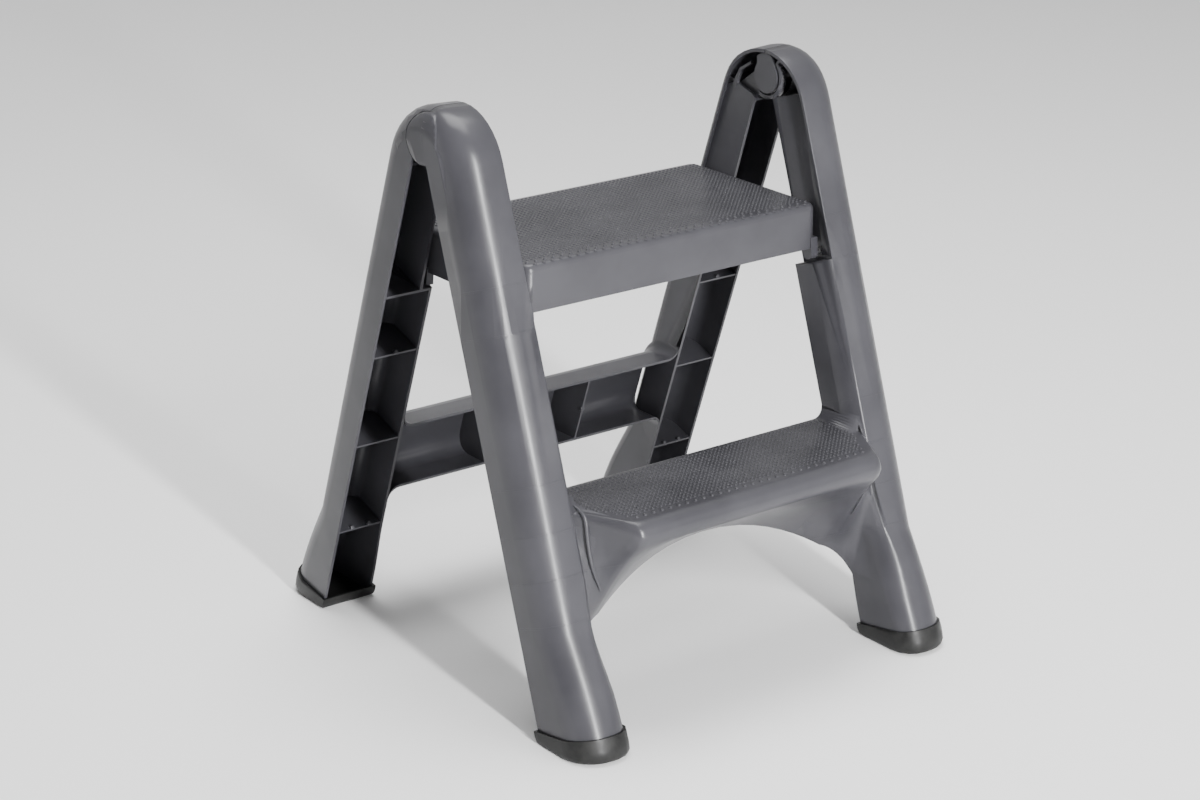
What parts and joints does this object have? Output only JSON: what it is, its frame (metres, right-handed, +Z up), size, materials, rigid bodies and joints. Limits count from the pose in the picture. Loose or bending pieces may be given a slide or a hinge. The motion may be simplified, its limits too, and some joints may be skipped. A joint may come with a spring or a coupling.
{
  "type": "step stool",
  "caption": "Folding step stool: front and rear plastic frames hinged at the top, a hinged platform, a lower tread and rubber boots.",
  "frame": {"origin": "centre of the open stool's footprint, on the floor", "axes": "+Z up, +X to the right of a person facing away from the climbing side, -Y towards the climbing side"},
  "size_m": [0.4708, 0.5373, 0.577],
  "materials": {
    "grey_plastic": "satin moulded polypropylene",
    "black_rubber": "satin black rubber",
    "steel_pin": "plain turned steel"
  },
  "bodies": {
    "front": {"front_frame": "grey_plastic", "boot_front_right": "black_rubber", "boot_front_left": "black_rubber"},
    "rear": {"rear_frame": "grey_plastic", "boot_rear_right": "black_rubber", "boot_rear_left": "black_rubber", "hinge_stud_right": "grey_plastic", "hinge_stud_left": "grey_plastic"},
    "step": {"top_step": "grey_plastic", "step_pin_right": "steel_pin", "step_pin_left": "steel_pin"}
  },
  "joints": [
    {"name": "rear_fold", "type": "hinge", "parent": "front", "child": "rear", "pos_m": [0, -0.01123, 0.548], "axis": [-1, 0, 0], "range_deg": [0, 38.3]},
    {"name": "step_fold", "type": "hinge", "parent": "front", "child": "step", "pos_m": [0, -0.09623, 0.385], "axis": [1, 0, 0], "range_deg": [0, 71.5]}
  ]
}
